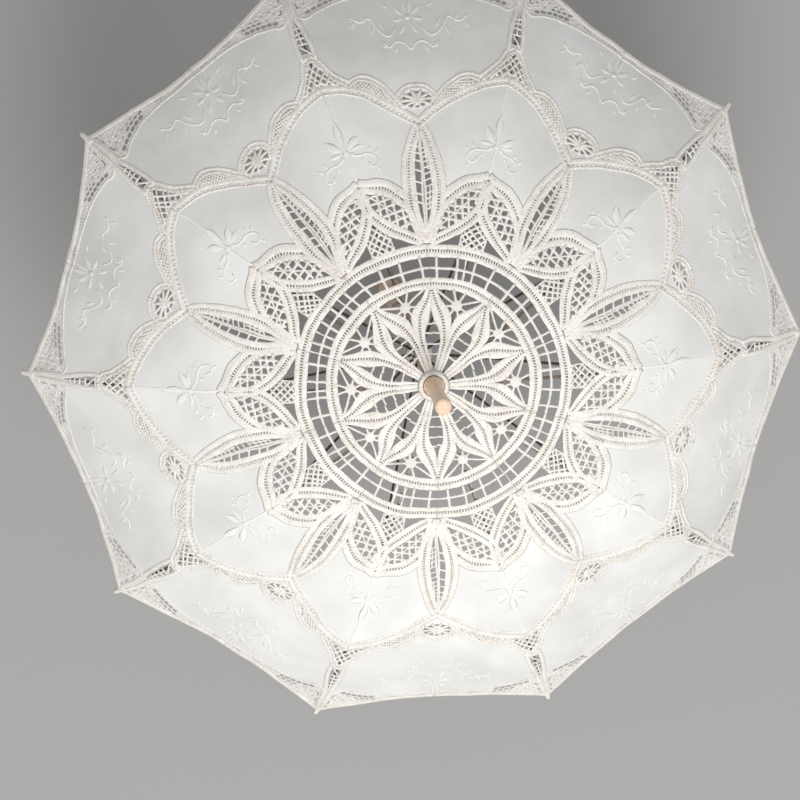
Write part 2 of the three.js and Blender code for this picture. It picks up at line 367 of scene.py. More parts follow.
def net(bm, loop, k, spacing, angles, radius, rng, knot=0.0):
    """Crossed threads that fill a loop, each held a little way into its edge, knotted where they cross."""
    middle = sum(loop, Vector((0, 0))) / len(loop)
    reach = max((p - middle).length for p in loop)
    gap = spacing * MM
    families = []
    for turn in angles:
        d = Vector((math.cos(turn), math.sin(turn)))
        n = Vector((-d.y, d.x))
        count = int(reach / gap) + 1
        laid_threads = []
        for i in range(-count, count + 1):
            base = middle + n * gap * (i + 0.5 + rng.uniform(-0.12, 0.12))
            lean = n * gap * rng.uniform(-0.25, 0.25)
            run = []
            steps = int(2 * reach / MM)
            for j in range(steps + 2):
                t = -1 + 2 * j / steps
                p = base + d * reach * t + lean * t
                if j <= steps and inside(p, loop):
                    run.append(p)
                elif run:
                    if len(run) > 1:
                        ends = run[0] - d * 1.2 * MM, run[-1] + d * 1.2 * MM
                        stitch(bm, *ends, radius, k, rng)
                        laid_threads.append(ends)
                    run = []
        families.append(laid_threads)
    if knot:
        for a, b in families[0]:
            for c, d in families[1]:
                crossing = intersect_line_line_2d(a, b, c, d)
                if crossing:
                    wheel(bm, crossing, knot * rng.uniform(0.85, 1.15), k, 3)


# ---------------------------------------------------------------- materials
def linear(code):
    """An sRGB hex colour as linear light."""
    values = [int(code[i : i + 2], 16) / 255 for i in (0, 2, 4)]
    return tuple(c / 12.92 if c <= 0.04045 else ((c + 0.055) / 1.055) ** 2.4 for c in values) + (1.0,)


def node(tree, kind, links=(), **settings):
    """Adds a node, sets its inputs and properties, and links what feeds it."""
    made = tree.nodes.new(kind)
    for key, value in settings.items():
        name = key.replace("_", " ")
        match = [s for s in made.inputs if s.name.lower() == name.lower()]
        if match:
            match[0].default_value = value
        else:
            setattr(made, key, value)
    for socket, source in links:
        tree.links.new(source, made.inputs[socket])
    return made


def finish_named(name):
    """An empty material of that name, its node tree and its shader."""
    mat = bpy.data.materials.new(name)
    mat.use_nodes = True
    tree = mat.node_tree
    tree.nodes.clear()
    out = tree.nodes.new("ShaderNodeOutputMaterial")
    shader = tree.nodes.new("ShaderNodeBsdfPrincipled")
    tree.links.new(shader.outputs[0], out.inputs[0])
    return mat, tree, shader


def two_tone(tree, shader, factor, dark, light):
    """Colours the shader from dark to light as the factor rises."""
    ramp = node(tree, "ShaderNodeValToRGB", [("Fac", factor)])
    ramp.color_ramp.elements[0].color = linear(dark)
    ramp.color_ramp.elements[1].color = linear(light)
    tree.links.new(ramp.outputs["Color"], shader.inputs["Base Color"])
    return ramp


def bumped(tree, shader, height, strength, distance):
    bump = node(tree, "ShaderNodeBump", [("Height", height)], strength=strength, distance=distance)
    tree.links.new(bump.outputs["Normal"], shader.inputs["Normal"])


def cotton_lawn():
    """Bleached cotton lawn: a fine plain weave in a clean off-white, softly clouded, quite matt."""
    mat, tree, shader = finish_named("bleached_cotton_lawn")
    place = node(tree, "ShaderNodeTexCoord").outputs["Object"]
    cloud = node(tree, "ShaderNodeTexNoise", [("Vector", place)], scale=14.0, detail=4.0)
    ramp = two_tone(tree, shader, cloud.outputs["Fac"], "E1E0DC", "F5F4F1")
    ramp.color_ramp.elements[0].position = 0.3
    ramp.color_ramp.elements[1].position = 0.68
    # threads every 0.8 mm, about twice the real pitch, so that the weave shows
    warp = node(tree, "ShaderNodeTexWave", [("Vector", place)], scale=200.0, distortion=0.6)
    warp.bands_direction = "X"
    weft = node(tree, "ShaderNodeTexWave", [("Vector", place)], scale=200.0, distortion=0.6)
    weft.bands_direction = "Y"
    crossing = [(0, warp.outputs["Fac"]), (1, weft.outputs["Fac"])]
    weave = node(tree, "ShaderNodeMath", crossing, operation="ADD")
    # soft creases about 40 mm apart and 2 mm deep
    crease = node(tree, "ShaderNodeTexNoise", [("Vector", place)], scale=25.0, detail=3.0, distortion=0.8)
    creased = [(0, crease.outputs["Fac"]), (2, weave.outputs[0])]
    height = node(tree, "ShaderNodeMath", creased, operation="MULTIPLY_ADD")
    height.inputs[1].default_value = 7.0
    bumped(tree, shader, height.outputs[0], 0.22, 0.0003)
    shader.inputs["Roughness"].default_value = 0.85
    shader.inputs["Sheen Weight"].default_value = 0.15
    shader.inputs["Sheen Roughness"].default_value = 0.5
    return mat


def lace_cotton(name, dark, light, pitch, strength):
    """Mercerised lace cotton: warm ivory with the close ribbing of a braid, with painted shade in the hollows
    between its threads, slightly shiny on top.

    pitch is the distance between two threads in millimetres.
    """
    mat, tree, shader = finish_named(name)
    place = node(tree, "ShaderNodeTexCoord").outputs["Object"]
    cloud = node(tree, "ShaderNodeTexNoise", [("Vector", place)], scale=60.0, detail=3.0)
    rib = node(tree, "ShaderNodeTexVoronoi", [("Vector", place)], scale=1000.0 / pitch)
    # painted shade: the hollows between threads are coloured darker than their tops, clouded at random
    clouded = [(0, rib.outputs["Distance"]), (1, cloud.outputs["Fac"])]
    hollow_shade = node(tree, "ShaderNodeMath", clouded, operation="MULTIPLY")
    ramp = two_tone(tree, shader, hollow_shade.outputs[0], light, dark)
    ramp.color_ramp.elements[0].position = 0.16
    ramp.color_ramp.elements[1].position = 0.46
    bumped(tree, shader, rib.outputs["Distance"], strength, 0.0004)
    shader.inputs["Roughness"].default_value = 0.72
    shader.inputs["Sheen Weight"].default_value = 0.25
    return mat


def turned_beech():
    """Turned and oiled beech: straight pale grain along the stick with short darker flecks."""
    mat, tree, shader = finish_named("turned_beech")
    place = node(tree, "ShaderNodeTexCoord").outputs["Object"]
    # grain lines about 1.5 mm apart and 40 mm long
    grown = node(tree, "ShaderNodeMapping", [("Vector", place)])
    grown.inputs["Scale"].default_value = (1.0, 1.0, 0.04)
    along = [("Vector", grown.outputs[0])]
    grain = node(tree, "ShaderNodeTexNoise", along, scale=650.0, detail=6.0, roughness=0.6)
    ramp = two_tone(tree, shader, grain.outputs["Fac"], "DDB48F", "FBE0C6")
    ramp.color_ramp.elements[0].position = 0.25
    ramp.color_ramp.elements[1].position = 0.7
    bumped(tree, shader, grain.outputs["Fac"], 0.12, 0.0003)
    shader.inputs["Roughness"].default_value = 0.42
    shader.inputs["Coat Weight"].default_value = 0.25
    shader.inputs["Coat Roughness"].default_value = 0.25
    return mat


def plated_steel():
    """Nickel-plated steel: a soft warm mirror with fine handling marks."""
    mat, tree, shader = finish_named("nickel_plated_steel")
    place = node(tree, "ShaderNodeTexCoord").outputs["Object"]
    marks = node(tree, "ShaderNodeTexNoise", [("Vector", place)], scale=500.0, detail=5.0)
    two_tone(tree, shader, marks.outputs["Fac"], "A8A49C", "CFCBC3")
    rough = node(tree, "ShaderNodeMapRange", [("Value", marks.outputs["Fac"])])
    rough.inputs["To Min"].default_value = 0.22
    rough.inputs["To Max"].default_value = 0.42
    tree.links.new(rough.outputs[0], shader.inputs["Roughness"])
    shader.inputs["Metallic"].default_value = 1.0
    return mat


def rib_steel():
    """Drawn rib steel, browned: faint spots in a dull grey-brown tone."""
    mat, tree, shader = finish_named("browned_rib_steel")
    place = node(tree, "ShaderNodeTexCoord").outputs["Object"]
    spots = node(tree, "ShaderNodeTexNoise", [("Vector", place)], scale=180.0, detail=6.0)
    two_tone(tree, shader, spots.outputs["Fac"], "4E453E", "857A70")
    bumped(tree, shader, spots.outputs["Fac"], 0.15, 0.0002)
    shader.inputs["Metallic"].default_value = 0.75
    shader.inputs["Roughness"].default_value = 0.46
    return mat


def tip_casein():
    """Moulded cream casein: smooth, faintly clouded, with a low polish."""
    mat, tree, shader = finish_named("cream_casein")
    place = node(tree, "ShaderNodeTexCoord").outputs["Object"]
    cloud = node(tree, "ShaderNodeTexNoise", [("Vector", place)], scale=220.0, detail=3.0)
    two_tone(tree, shader, cloud.outputs["Fac"], "E4D5BD", "F6EBDA")
    bumped(tree, shader, cloud.outputs["Fac"], 0.08, 0.0002)
    shader.inputs["Roughness"].default_value = 0.38
    return mat


LAWN = cotton_lawn()
TAPE = lace_cotton("braided_lace_tape", "E0D7CB", "FDF9F2", 1.3, 0.42)
BORDER_LACE = lace_cotton("close_border_lace", "DFDBD3", "F6F3EE", 1.6, 0.5)
THREAD = lace_cotton("twisted_lace_thread", "E2DACF", "FCF8F2", 0.9, 0.4)
SATIN = lace_cotton("satin_stitch_cotton", "ECE9E2", "FBF9F4", 0.8, 0.3)
BEECH = turned_beech()
NICKEL = plated_steel()
STEEL = rib_steel()
CASEIN = tip_casein()

for name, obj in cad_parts.items():
    finish = STEEL
    if name in ("shaft", "handle", "ferrule"):
        finish = BEECH
    elif name in ("handle_collar", "crown", "runner") or name.startswith("joint_pin"):
        finish = NICKEL
    elif name.startswith("rib_tip"):
        finish = CASEIN
    obj.data.materials.clear()
    obj.data.materials.append(finish)


# ---------------------------------------------------------------- the lace drawing, over half a sector
def measured(points):
    """A smooth path through (point, width in mm) pairs, as the path and its width at each step."""
    path = smooth([Vector((p.x, p.y, w * MM)) for p, w in points])
    return [p.to_2d() for p in path], [p.z / MM for p in path]


def petal():
    """One side of a pointed petal of the centre rosette, which closes on the middle line between two ribs."""
    shape = (
        (13, 3.0, 5.5), (25, 6.2, 7.5), (35, 8.9, 8.0), (43, 10.5, 8.4), (51, 11.6, 10.0), (58, 11.8, 13.5),
        (65, 10.8, 17.5), (71, 8.8, 16.5), (78, 5.8, 13.5), (84, 3.6, 10.5), (89, 2.0, 9.0), (95, 0.6, 8.6),
    )
    return measured([(beside_leaf(r, off), w) for r, off, w in shape])


def big_leaf():
    """One side of the large leaf on the middle line between two ribs."""
    shape = (
        (137, 2.6, 10.5), (145, 4.0, 11), (151, 5.9, 11.5), (158, 8.5, 12.2),
        (168, 11.2, 13), (180, 12.9, 13.4), (194, 13.4, 13.4), (209, 12.6, 13.2),
        (223, 10.4, 12.6), (235, 7.2, 11.6), (243, 4.0, 10.8), (250, 0.4, 10.2),
    )
    return measured([(beside_leaf(r, off), w) for r, off, w in shape])


LEAF_FOOT = at(152.5, 13.6)
LEAF_AXIS = (at(189.5, 1.3) - LEAF_FOOT).normalized()
LEAF_OUT = Vector((-LEAF_AXIS.y, LEAF_AXIS.x))


def on_leaf(along, out):
    """A point of the small leaf that leans in to the rib, along it and outwards across it."""
    return LEAF_FOOT + (LEAF_AXIS * along + LEAF_OUT * out) * 0.97 * MM


def leaf_curve(shape, last=None):
    points = [on_leaf(a, b) for a, b in shape]
    return smooth(points + ([last] if last else []))


def leaf_inner():
    """The small leaf's tape on its inner side, up to the rib."""
    shape = (
        (-13, -7.5, 8), (-5, -8.6, 10), (5, -11.0, 11.5), (15, -12.9, 12),
        (27, -13.7, 12), (38, -12.8, 11.5), (48, -9.4, 10), (57, -3.6, 9),
    )
    return measured([(on_leaf(a, b), w) for a, b, w in shape] + [(at(199, 0), 8)])


def leaf_outer():
    """The small leaf's tape on its outer side."""
    shape = ((-14, -3.5), (-3, 3.0), (8, 9.0), (17, 12.2), (28, 13.4), (39, 12.4), (53, 6.6))
    return leaf_curve(shape, at(200, 0))


def leaf_contour():
    """The outermost tape round the small leaf, where the petal's cloth starts."""
    shape = ((20, 21.2), (28, 21.6), (36, 21.6), (45, 20.2), (53, 16.0), (61, 10.2))
    return leaf_curve(shape, at(206.5, 0))


def leaf_comb():
    """The row of short bars between the small leaf's two outer tapes."""
    return leaf_curve(((24, 17.0), (33, 17.4), (41, 16.4), (50, 12.9), (60, 6.8)))


def leaf_fill():
    """The opening of the small leaf."""
    shape = (
        (-3, -1), (8, -5.2), (20, -7.2), (32, -7.4), (45, -4.4), (55, 0.6),
        (48, 6.6), (38, 10.0), (28, 11.2), (16, 9.6), (6, 5.0),
    )
    return [on_leaf(a, b) for a, b in shape]


LEAF_TIP_R = 250
CUSP_R = 293.5


def arch():
    """From the big leaf's tip to the cusp on the rib, bowed outwards, more so towards the cusp."""
    a, b = beside_leaf(LEAF_TIP_R, 0), at(CUSP_R, 0)
    bow = ((0.16, 4.9), (0.30, 8.2), (0.455, 9.8), (0.60, 10.4), (0.78, 7.6))
    points = [a]
    for t, out in bow:
        p = a.lerp(b, t)
        points.append(p + p.normalized() * out * MM)
    return smooth(points + [b])


ARCH = arch()


def off_arch(t, out):
    """A point out from the arch, t of the way from the leaf's tip to the cusp."""
    i = round(t * (len(ARCH) - 1))
    return ARCH[i] + ARCH[i].normalized() * out * MM


def beside_rib(r, off):
    """A point along the rib and off it, in millimetres on the cover."""
    return Vector((r, off)) * MM


def lune_edge():
    """The tape round the crescent of gauze that sits on the arch."""
    shape = ((0.17, 5), (0.25, 11), (0.36, 15.6), (0.47, 17), (0.58, 15), (0.66, 10.5), (0.72, 6.5))
    return smooth([off_arch(t, out) for t, out in shape])


def lune_fill():
    """The opening of the crescent, which gauze fills."""
    low = [off_arch(t, 5.2) for t in (0.20, 0.30, 0.40, 0.50, 0.60, 0.67)]
    top = ((0.62, 9.0), (0.55, 12.4), (0.46, 13.6), (0.37, 12.2), (0.28, 8.6))
    high = [off_arch(t, out) for t, out in top]
    return low + high


def mitre_edge():
    """The tape from the arch to the rib, round the net outside the cusp."""
    points = [off_arch(0.70, 7), off_arch(0.78, 11.5), off_arch(0.86, 18)]
    return smooth(points + [beside_rib(317.5, 7.4), beside_rib(322.5, 0)])


def mitre_fill():
    """The opening outside the cusp, on both sides of the rib."""
    low = [off_arch(t, 6) for t in (0.76, 0.84, 0.92)]
    high = [beside_rib(314.5, 6.0), off_arch(0.86, 14.2), off_arch(0.80, 10)]
    inner = low + [beside_rib(298, 0)] + flipped(low)[::-1]
    return inner + flipped(high)[::-1] + [beside_rib(318.5, 0)] + high


def strip_fill():
    """The narrow opening along the rib, between the cusp's net and the corner."""
    half = [beside_rib(r, w) for r, w in ((327, 4.6), (334, 4.8), (342, 3.8), (350, 2.6), (359, 1.0))]
    return half + flipped(half)[::-1]


def strip_edge():
    """The tape beside the rib, from the cusp's net to the rim."""
    shape = ((321, 6.4), (330, 7.4), (340, 6.9), (350, 5.6), (360, 4.0), (372, 3.4), (386, 3.1), (400, 2.6))
    return smooth([beside_rib(r, w) for r, w in shape])


def rim_at(share, inset):
    """A point in from the scalloped edge, share of the way from the rib (0) to the gap's middle (1)."""
    psi = HALF * share
    s = RIM_R - RIM_DIP * (1 - (1 - share) ** 2) - inset * MM
    rho = s * math.cos(HALF) / math.cos(HALF - psi)
    return Vector((rho * math.cos(psi), rho * math.sin(psi)))


def rim_run(inset):
    """A line along the scalloped edge, from the rib to the gap's middle."""
    parts = 30
    return even([rim_at(i / parts, inset) for i in range(parts + 1)], 3 * MM)


# how far the outer cloth stops short of the edge, from the gap's middle (1) back towards the rib (0)
HEM = (
    (1.0, 9.5), (0.85, 9.5), (0.7, 10.2), (0.58, 12), (0.48, 15),
    (0.38, 19.2), (0.28, 24.6), (0.18, 31), (0.10, 37.5),
)
# where the hem and the border meet the rib
CORNER_R = 365
BORDER_INSET = 3.5


def hem_inset(share):
    """The hem's distance from the edge, share of the way from the rib to the gap's middle."""
    for (t1, i1), (t0, i0) in zip(HEM, HEM[1:]):
        if share >= t0:
            return i0 + (i1 - i0) * (share - t0) / (t1 - t0)
    return HEM[-1][1]


def hem_line():
    """Where the outer cloth stops: along the border, then across each corner to the rib."""
    return smooth([rim_at(t, inset) for t, inset in HEM] + [beside_rib(CORNER_R, 3.5)])


def slit(share, inset, length, width):
    """A pointed opening that leans the way the hem runs across a corner."""
    middle = rim_at(share, inset)
    run = (rim_at(share + 0.02, inset - 1.25) - middle).normalized()
    across = Vector((-run.y, run.x))
    shape = ((-0.5, 0), (-0.28, 0.5), (0.28, 0.5), (0.5, 0), (0.28, -0.5), (-0.28, -0.5))
    return [middle + (run * a * length + across * b * width) * MM for a, b in shape]


def corner_slits():
    """The openings of a corner: a row along the cloth, two short rows beside it, a few small ones inside."""
    loops = [slit(t, hem_inset(t) - 4.4, 6.2, 3.3) for t in (0.145, 0.199, 0.253, 0.307, 0.361, 0.415)]
    loops += [slit(t, hem_inset(t) - 8.6, 5.6, 2.4) for t in (0.28, 0.332, 0.384, 0.436)]
    loops += [slit(t, hem_inset(t) - 12.0, 4.4, 1.5) for t in (0.30, 0.35)]
    inner = ((0.09, 26), (0.13, 21), (0.10, 17), (0.17, 15.5), (0.20, 20.5), (0.24, 13))
    loops += [slit(t, inset, 3.2, 1.3) for t, inset in inner]
    for r, off in ((370, 7.4), (381, 6.6), (391, 5.6)):
        ends = (r, off), (r + 6, off - 0.6), (r + 6, off + 0.9), (r, off + 1.5)
        loops.append([beside_rib(x, y) for x, y in ends])
    return loops


def border_ticks():
    """Small openings in the border, away from its corners."""
    return [slit(t, 6.7, 2.6, 1.2) for t in (0.60, 0.628, 0.656, 0.86, 0.888, 0.916)]


EYE_R = 269.5


def eye_half():
    """The wheel hole outside a big leaf's tip, as half an oval that ends on the gap's middle line."""
    points = []
    for i in range(13):
        a = math.pi * i / 12
        points.append(beside_leaf(EYE_R, 14.0 * math.sin(a) ** 1.15) - GAP * 7.6 * MM * math.cos(a))
    return points


def eye_edge():
    """The tape round that hole, from where it leaves the arch."""
    points = []
    for i in range(9):
        a = math.pi * (0.28 + 0.72 * i / 8)
        points.append(beside_leaf(EYE_R, 17.5 * math.sin(a)) - GAP * 12.5 * MM * math.cos(a))
    return smooth(points)


def joined(*parts):
    """One outline from several lines, without points that nearly meet."""
    close = 0.4 * MM
    out = []
    for part in parts:
        for p in part:
            if not out or (p - out[-1]).length > close:
                out.append(p)
    if (out[0] - out[-1]).length < close:
        out.pop()
    return out


def both(half):
    return joined(half, flipped(half)[::-1])


def petal_panel():
    """The cloth between two big leaves, from the crown point out to the cusp."""
    contour = leaf_contour()[::-1]
    leaf = big_leaf()[0]
    start = min(range(len(leaf)), key=lambda i: (leaf[i] - contour[-1]).length)
    return both(joined(contour, leaf[start + 1 :], ARCH))


def outer_panel():
    """The cloth between the arches and the border, which runs round the eye."""
    eye = eye_half()
    hem = hem_line()
    middle = even([eye[-1], hem[0]], STEP)
    return both(joined(ARCH[::-1], eye, middle[1:-1], hem))


def border_panel():
    """The close lace between the outer cloth and the scalloped edge."""
    edge = rim_run(BORDER_INSET)[::-1]
    return both(joined([beside_rib(CORNER_R, 0)], hem_line()[::-1], edge, [rim_at(0, BORDER_INSET)]))


# ---------------------------------------------------------------- the pieces of one sector
def turned_about(points, sign):
    return points if sign > 0 else flipped(points)


STICK_R = 13
WEB_R = 80.5
RING_R = 99.5
LADDER_R = 114.5
OUTER_RING_R = 130.5


def lace_tapes(bm, k):
    """Every tape of sector k, with the solid work between them."""
    tape(bm, arc(RING_R), 12.0, k, 1.6)
    tape(bm, arc(OUTER_RING_R), 12.4, k, 2.1)
    for sign in (1, -1):
        for (path, widths), slot_width in ((petal(), 1.6), (leaf_inner(), 1.5), (big_leaf(), 1.5)):
            tape(bm, turned_about(path, sign), widths, k, slot_width)
        # the arch's line of openings lies close to its inner edge
        tape(bm, turned_about(ARCH, sign), 9.8, k, 2.0, 4.4, off=-1.3 * sign)
        rounds = ((lune_edge(), 6.4, 1.2), (mitre_edge(), 7.0, 1.4), (eye_edge(), 6.6, 1.3))
        for line, width, slot_width in rounds:
            tape(bm, turned_about(line, sign), width, k, slot_width)
        for line, width in (
            (leaf_outer(), 6.2),
            (leaf_contour(), 7.6),
            (strip_edge(), 4.6),
            (rim_run(2.6), 4.8),
            (hem_line(), 2.2),
        ):
            plain(bm, turned_about(line, sign), width, k)
        bars(bm, turned_about(leaf_comb(), sign), 2.6, k, 2.9, 1.5)
        # solid work closes the big leaf's foot and its tip, and thins towards its middle
        for outer, inner in ((138, 167), (249, 232)):
            filled = even([beside_leaf(outer, 0), beside_leaf(inner, 0)], 3 * MM)
            reach = [(3.8 - 3.0 * i / (len(filled) - 1)) * MM for i in range(len(filled))]
            towards_rib = sign if outer < inner else -sign
            low = [-w for w in reach] if towards_rib > 0 else [0.0] * len(filled)
            high = [0.0] * len(filled) if towards_rib > 0 else reach
            band(bm, turned_about(filled, sign), low, high, k)
    thread(bm, arc(STICK_R), 1.6, k, random.Random(3))
    # the corner pocket that slips over the rib's end, narrower outwards
    pocket = even([beside_rib(394, 0), beside_rib(408.5, 0)], 2 * MM)
    half = [(3.6 - 1.5 * i / (len(pocket) - 1)) * MM for i in range(len(pocket))]
    band(bm, pocket, [-h for h in half], half, k, CLOTH_LIFT + 0.0006)


def close_work(bm, k, rng, sign):
    """Short raised stitches over the close lace of a corner, between its openings."""
    openings = corner_slits()
    for i in range(13):
        for j in range(9):
            t = 0.045 + 0.04 * i + rng.uniform(-0.01, 0.01)
            inset = 6.6 + 3.4 * j + rng.uniform(-0.8, 0.8)
            middle = rim_at(t, inset)
            slant = rim_at(t + 0.02, inset - 1.25 + rng.uniform(-0.8, 0.8)) - middle
            run = slant.normalized() * rng.uniform(1.2, 2.4) * MM
            size = rng.uniform(0.45, 0.75)
            marks = middle, middle - run, middle + run
            if inset < hem_inset(t) - 2 and not any(inside(p, loop) for p in marks for loop in openings):
                stitch(bm, *turned_about(marks[1:], sign), size, k, rng)


def lace_threads(bm, k, rng):
    """Every net, web and bar of sector k."""
    # ladder between the ring tapes: four rungs, some with a second, thinner one beside them
    thread(bm, arc(LADDER_R), 1.4, k, rng)
    low, high = LADDER_R - 10, LADDER_R + 11
    for i in range(4):
        a = -13.5 + 9 * i + rng.uniform(-1.2, 1.2)
        stitch(bm, at(low, a), at(high, a + rng.uniform(-0.6, 0.6)), 1.4, k, rng)
        wheel(bm, at(LADDER_R, a), 2.3, k, 4)
        if rng.random() < 0.3:
            a += 4.2
            stitch(bm, at(low, a), at(high, a + 0.6), 0.7, k, rng)
            stitch(bm, at(low, a + 1.0), at(high, a + 0.2), 0.6, k, rng)
    # spider web between two petals: its legs run on to the nearest tape
    path, widths = petal()
    walls = list(zip(path, widths)) + list(zip(flipped(path), widths))
    hub = at(WEB_R, 0)
    legs = 8
    for i in range(legs):
        a = 2 * math.pi * (i + 0.5) / legs + rng.uniform(-0.09, 0.09)
        d = Vector((math.cos(a), math.sin(a)))
        reach = 3.0
        while reach < 30:
            p = hub + d * reach * MM
            if p.length > laid(94.5) or any((p - w).length < (wide / 2 - 0.4) * MM for w, wide in walls):
                break
            reach += 1.0
        stitch(bm, hub, hub + d * reach * MM, 1.2, k, rng)
    wheel(bm, hub, 5.8, k, 8)
    # square net inside the crown
    loop = [at(136, 4.4), at(149, 4.2), at(163, 0), at(149, -4.2), at(136, -4.4)]
    net(bm, loop, k, 5.0, (math.pi / 4, -math.pi / 4), 1.15, rng, 1.8)
    for sign in (1, -1):

        def own(points):
            return turned_about(points, sign)

        # edge of the crown's net, and bars across the petal's slot up to the middle line
        thread(bm, own(even([at(136, 4.6), at(151, 4.3)], 3 * MM)), 0.9, k, rng)
        for r in (31, 41, 51.5, 60.5):
            stitch(bm, *own([beside_leaf(r, 8), beside_leaf(r + rng.uniform(-1, 1), 0)]), 1.05, k, rng)
        # net of the small leaf
        axis = math.atan2(LEAF_AXIS.y, LEAF_AXIS.x) * sign
        net(bm, own(leaf_fill()), k, 7.0, (axis + 0.95, axis - 0.75), 1.3, rng, 2.4)
        stitch(bm, *own([on_leaf(2, 0.8), on_leaf(53, 1.6)]), 0.9, k, rng)
        # big leaf: a spine, wide openings on one side and close ones on the other
        if sign < 0:
            for r in (175, 183, 193.5, 204.5, 214, 222, 228.5):
                stitch(bm, *own([beside_leaf(r - 2, 0), beside_leaf(r + 1.5, 10)]), 1.0, k, rng)
        else:
            for r in (170, 174.5, 179, 184, 190, 196, 202, 208, 213.5, 218.5, 223, 227.5):
                stitch(bm, *own([beside_leaf(r - 2.5, 0), beside_leaf(r + 2, 10)]), 0.85, k, rng)
            stitch(bm, *own([beside_leaf(170, 4.3), beside_leaf(190, 5.2)]), 0.8, k, rng)
            stitch(bm, *own([beside_leaf(205, 5.2), beside_leaf(228, 3.6)]), 0.8, k, rng)
        spine = ((148, 0.6), (165, 0.9), (182, 1.4), (205, 0.6), (244, 0.5))
        thread(bm, own(smooth([beside_leaf(r, off) for r, off in spine])), 1.2, k, rng)
        # half of the eye's wheel
        hub = beside_leaf(EYE_R, 0)
        for i in range(5):
            a = math.pi * (i + 0.5) / 5
            end = beside_leaf(EYE_R, 15 * math.sin(a)) - GAP * 9.0 * MM * math.cos(a)
            stitch(bm, *own([hub, end]), 1.4, k, rng)
        wheel(bm, own([hub])[0], 6.2, k, 9)
        # gauze of the lune
        net(bm, own(lune_fill()), k, 2.5, (0.3, 1.9), 0.85, rng)
        close_work(bm, k, rng, sign)
    # net outside the cusp, and the cells of the strip on the rib
    net(bm, mitre_fill(), k, 5.3, (0.72, -0.72), 1.25, rng, 1.95)
    stitch(bm, beside_rib(325.5, -4.5), beside_rib(336, 4.5), 1.1, k, rng)
    for r, w in ((336.5, 4.6), (342.5, 4), (348, 3.2), (353, 2.4)):
        stitch(bm, beside_rib(r, -w), beside_rib(r + rng.uniform(-1, 1), w), 1.1, k, rng)
    stitch(bm, beside_rib(336, 0), beside_rib(360, 0), 1.0, k, rng)


def embroidery(bm, k, rng):
    """The satin-stitched sprays of sector k."""
    # leaf spray on the petal panel: its long leaf points outwards along the rib
    heart = at(238, 0)
    leaves = (
        (0, 29, 7.6), (46, 22, 8.4), (-60, 20, 7.6), (93, 17, 3.6),
        (-88, 19, 4.4), (125, 9, 3.2), (-120, 9, 3.2),
    )
    for degrees, length, width in leaves:
        a = math.radians(degrees + rng.uniform(-4, 4))
        d = Vector((math.cos(a), math.sin(a)))
        satin(bm, heart + d * 2 * MM, heart + d * length * MM, width, k, bend=rng.uniform(-1.2, 1.2))
    satin(bm, heart + Vector((4, 0)) * MM, heart - Vector((4, 0)) * MM, 6, k)
    plain(bm, even([at(208, 0), heart], 3 * MM), 2.6, k, CLOTH_LIFT, 0.6)
    plain(bm, even([heart, at(290, 0)], 3 * MM), 2.2, k, CLOTH_LIFT, 0.5)
    for sign in (1, -1):
        shape = ((-3, 3), (-7, 10), (-8, 18), (-13, 25), (-20, 25), (-21, 19), (-16, 17))
        curl = smooth([heart + Vector((a, b * sign)) * MM for a, b in shape])
        thread(bm, curl, 0.7, k, rng, TAPE_LIFT)
        sprigs = ((-9, 19), (-2, 24)), ((-12, 24), (-7, 30)), ((-8, 11), (-15, 12)), ((-21, 22), (-27, 25))
        for ends in sprigs:
            base, tip = (heart + Vector((a, b * sign)) * MM for a, b in ends)
            satin(bm, base, tip, 3.2, k, 0.5, 6)
    # half of the outer scroll on each side: a flower on the gap's middle line, a bracket below it,
    # leafy stems beside it
    for sign in (1, -1):

        def own(r, off):
            return turned_about([beside_leaf(r, off)], sign)[0]

        for (r0, f0), (r1, f1), width in (
            ((333, 1), (345, 3.5), 5), ((332, 2), (339, 13), 4.6), ((330, 2), (329, 15), 4.2),
            ((327, 2), (319, 9), 4.0), ((322, 24), (330, 31), 3.4), ((326, 33), (318, 38), 3.4),
            ((325, 42), (333, 48), 3.2), ((329, 52), (322, 57), 3.0), ((312, 12), (306, 17), 3.2),
            ((314, 20), (310, 27), 3.0), ((337, 17), (341, 25), 3.0),
        ):
            satin(bm, own(r0, f0), own(r1, f1), width, k, 0.5, 7, rng.uniform(-0.6, 0.6))
        wheel(bm, own(331, 0), 2.4, k, 6)
        bracket = smooth([own(308, 0.5), own(313, 6), own(314, 14), own(310, 22), own(314, 27)])
        stem = smooth([own(324, 12), own(318, 20), own(322, 30), own(330, 38), own(327, 48), own(331, 58)])
        for line in (bracket, stem):
            thread(bm, line, 0.7, k, rng, CLOTH_LIFT + 0.0001)


def piece_from(bm, name, mat, thick=None):
    """Welds and closes the work and makes it an object. A piece with a thickness is an open sheet."""
    mesh = bpy.data.meshes.new(name)
    bmesh.ops.remove_doubles(bm, verts=bm.verts, dist=1e-6)
    if not thick:
        bmesh.ops.holes_fill(bm, edges=[e for e in bm.edges if e.is_boundary], sides=0)
    bmesh.ops.recalc_face_normals(bm, faces=bm.faces)
    for edge in bm.edges:
        edge.smooth = not edge.is_boundary
    bm.to_mesh(mesh)
    bm.free()
    obj = bpy.data.objects.new(name, mesh)
    bpy.context.scene.collection.objects.link(obj)
    mesh.materials.append(mat)
    for poly in mesh.polygons:
        poly.use_smooth = True
    if thick:
        wall = obj.modifiers.new("wall", "SOLIDIFY")
        wall.thickness = thick
        wall.offset = 0
    return obj


def holes_of(fills):
    """Each opening and its mirror image across the rib."""
    return [loop for fill in fills for loop in (fill, flipped(fill)[::-1])]


PETAL_CLOTH = pattern(petal_panel(), [])
OUTER_CLOTH = pattern(outer_panel(), [mitre_fill(), strip_fill()] + holes_of([lune_fill()]))
BORDER = pattern(border_panel(), holes_of(corner_slits() + border_ticks()))

